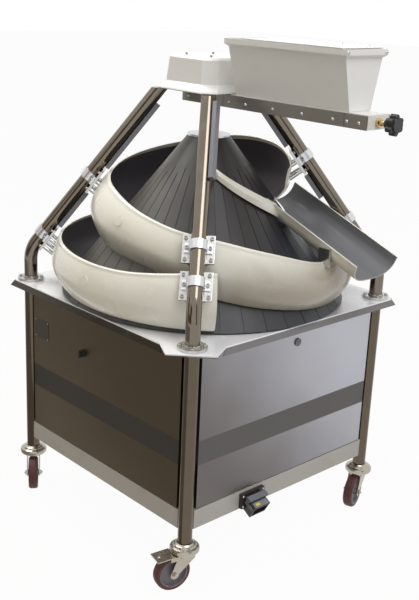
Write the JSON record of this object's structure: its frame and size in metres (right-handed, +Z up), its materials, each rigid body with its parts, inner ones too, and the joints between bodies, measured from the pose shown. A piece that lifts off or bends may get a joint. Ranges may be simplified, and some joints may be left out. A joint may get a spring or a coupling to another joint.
{
  "type": "conical dough rounder",
  "caption": "Wheeled cabinet with a turning grooved cone inside a fixed spiral track, a side chute, four leaning uprights and a flour duster on top.",
  "frame": {"origin": "on the floor, on the axis the cone turns about, midway between the four leg tubes", "axes": "+Z up along the cone's axis; -Y is the front, the panel with the rotary switch; +X is the side with the cam lock, the cable inlet, the chute's mouth and the flour duster"},
  "size_m": [1.3585, 1.1057, 1.7495],
  "materials": {
    "steel_tube": "satin stainless steel tube",
    "steel_sheet": "brushed stainless sheet",
    "table_white": "white painted sheet",
    "machined": "machined steel",
    "cone_coat": "dark non-stick coating",
    "cap_metal": "satin aluminium",
    "track_white": "ivory coated",
    "grey_plastic": "matt grey",
    "black_plastic": "matt black",
    "hopper_white": "white painted",
    "pin_insert": "pale insulating plastic",
    "zinc": "zinc plated steel",
    "wheel_core": "grey plastic",
    "tread": "red-brown elastic tread",
    "belt": "black rubber",
    "motor": "painted cast housing"
  },
  "bodies": {
    "frame": {"leg_tubes": "steel_tube", "table_top": "table_white", "front_panel": "steel_sheet", "rear_panel": "steel_sheet", "right_panel": "steel_sheet", "left_panel": "steel_sheet", "plinth_rails": "steel_sheet", "floor_plate": "steel_sheet", "bearing_housing": "motor", "drive_belt": "belt", "gear_motor": "motor", "motor_bracket": "steel_sheet", "upright_tubes": "steel_tube", "upright_discs": "machined", "disc_bolts": "zinc", "hub_plate": "steel_sheet", "hub_cover": "hopper_white", "air_ducts": "grey_plastic", "track_lower": "track_white", "track_middle": "track_white", "track_upper": "track_white", "clamp_plates": "machined", "clamp_saddles": "cap_metal", "clamp_screws": "zinc", "track_standoffs": "machined", "chute": "track_white", "chute_guide": "track_white", "chute_brackets": "machined", "duster_bars": "steel_sheet", "duster_tray": "hopper_white", "hopper": "hopper_white", "lid_hinges": "machined", "connector_housing": "black_plastic", "connector_insert": "pin_insert", "switch_body": "black_plastic", "name_plate": "grey_plastic", "caster_cups": "zinc"},
    "cone": {"cone_shell": "cone_coat", "cone_hub": "machined", "cone_cap": "cap_metal", "main_shaft": "machined", "driven_pulley": "machined"},
    "motor_pulley": {"drive_pulley": "machined"},
    "lid": {"hopper_lid": "hopper_white"},
    "doser": {"dosing_roller": "machined", "star_knob": "black_plastic"},
    "switch": {"switch_knob": "black_plastic"},
    "lock": {"panel_lock": "grey_plastic"},
    "lever": {"connector_lever": "grey_plastic"},
    "swivel_front": {"fork_front": "zinc"},
    "roll_front": {"wheel_front": "wheel_core", "tread_front": "tread"},
    "pedal": {"brake_front": "zinc"},
    "swivel_left": {"fork_left": "zinc"},
    "roll_left": {"wheel_left": "tread"},
    "swivel_right": {"fork_right": "zinc"},
    "roll_right": {"wheel_right": "tread"},
    "swivel_rear": {"fork_rear": "zinc"},
    "roll_rear": {"wheel_rear": "tread"}
  },
  "joints": [
    {"name": "cone_spin", "type": "hinge", "parent": "frame", "child": "cone", "pos_m": [0, 0, 1], "axis": [0, 0, 1], "continuous": true},
    {"name": "motor_spin", "type": "hinge", "parent": "frame", "child": "motor_pulley", "pos_m": [-0.23, 0, 0.61], "axis": [0, 0, 1], "continuous": true},
    {"name": "swivel_front", "type": "hinge", "parent": "frame", "child": "swivel_front", "pos_m": [0.45, -0.45, 0.14], "axis": [0, 0, 1], "continuous": true},
    {"name": "roll_front", "type": "hinge", "parent": "swivel_front", "child": "roll_front", "pos_m": [0.43911, -0.49366, 0.0625], "axis": [0.9703, -0.2419, 0], "continuous": true},
    {"name": "swivel_left", "type": "hinge", "parent": "frame", "child": "swivel_left", "pos_m": [-0.45, -0.45, 0.14], "axis": [0, 0, 1], "continuous": true},
    {"name": "roll_left", "type": "hinge", "parent": "swivel_left", "child": "roll_left", "pos_m": [-0.41314, -0.47581, 0.0625], "axis": [0.5736, 0.8192, 0], "continuous": true},
    {"name": "swivel_right", "type": "hinge", "parent": "frame", "child": "swivel_right", "pos_m": [0.45, 0.45, 0.14], "axis": [0, 0, 1], "continuous": true},
    {"name": "roll_right", "type": "hinge", "parent": "swivel_right", "child": "roll_right", "pos_m": [0.46465, 0.40745, 0.0625], "axis": [0.9455, 0.3256, 0], "continuous": true},
    {"name": "swivel_rear", "type": "hinge", "parent": "frame", "child": "swivel_rear", "pos_m": [-0.45, 0.45, 0.14], "axis": [0, 0, 1], "continuous": true},
    {"name": "roll_rear", "type": "hinge", "parent": "swivel_rear", "child": "roll_rear", "pos_m": [-0.49229, 0.43461, 0.0625], "axis": [0.342, -0.9397, 0], "continuous": true},
    {"name": "pedal_press", "type": "hinge", "parent": "swivel_front", "child": "pedal", "pos_m": [0.44419, -0.47329, 0.122], "axis": [0.9703, -0.2419, 0], "range_deg": [0, 5]},
    {"name": "lid_hinge", "type": "hinge", "parent": "frame", "child": "lid", "pos_m": [0.5, 0.1076, 1.7455], "axis": [-1, 0, 0], "range_deg": [0, 110]},
    {"name": "doser_turn", "type": "hinge", "parent": "frame", "child": "doser", "pos_m": [0.5, 0, 1.53795], "axis": [1, 0, 0], "continuous": true},
    {"name": "switch_turn", "type": "hinge", "parent": "frame", "child": "switch", "pos_m": [-0.103, -0.467, 0.655], "axis": [0, -1, 0], "range_deg": [0, 90]},
    {"name": "lock_turn", "type": "hinge", "parent": "frame", "child": "lock", "pos_m": [0.462, 0.023, 0.761], "axis": [1, 0, 0], "range_deg": [0, 90]},
    {"name": "lever_flip", "type": "hinge", "parent": "frame", "child": "lever", "pos_m": [0.51088, -0.165, 0.22084], "axis": [0, 1, 0], "range_deg": [0, 100]}
  ],
  "couplings": [
    {"joint": "motor_spin", "follows": "cone_spin", "ratio": 2}
  ]
}
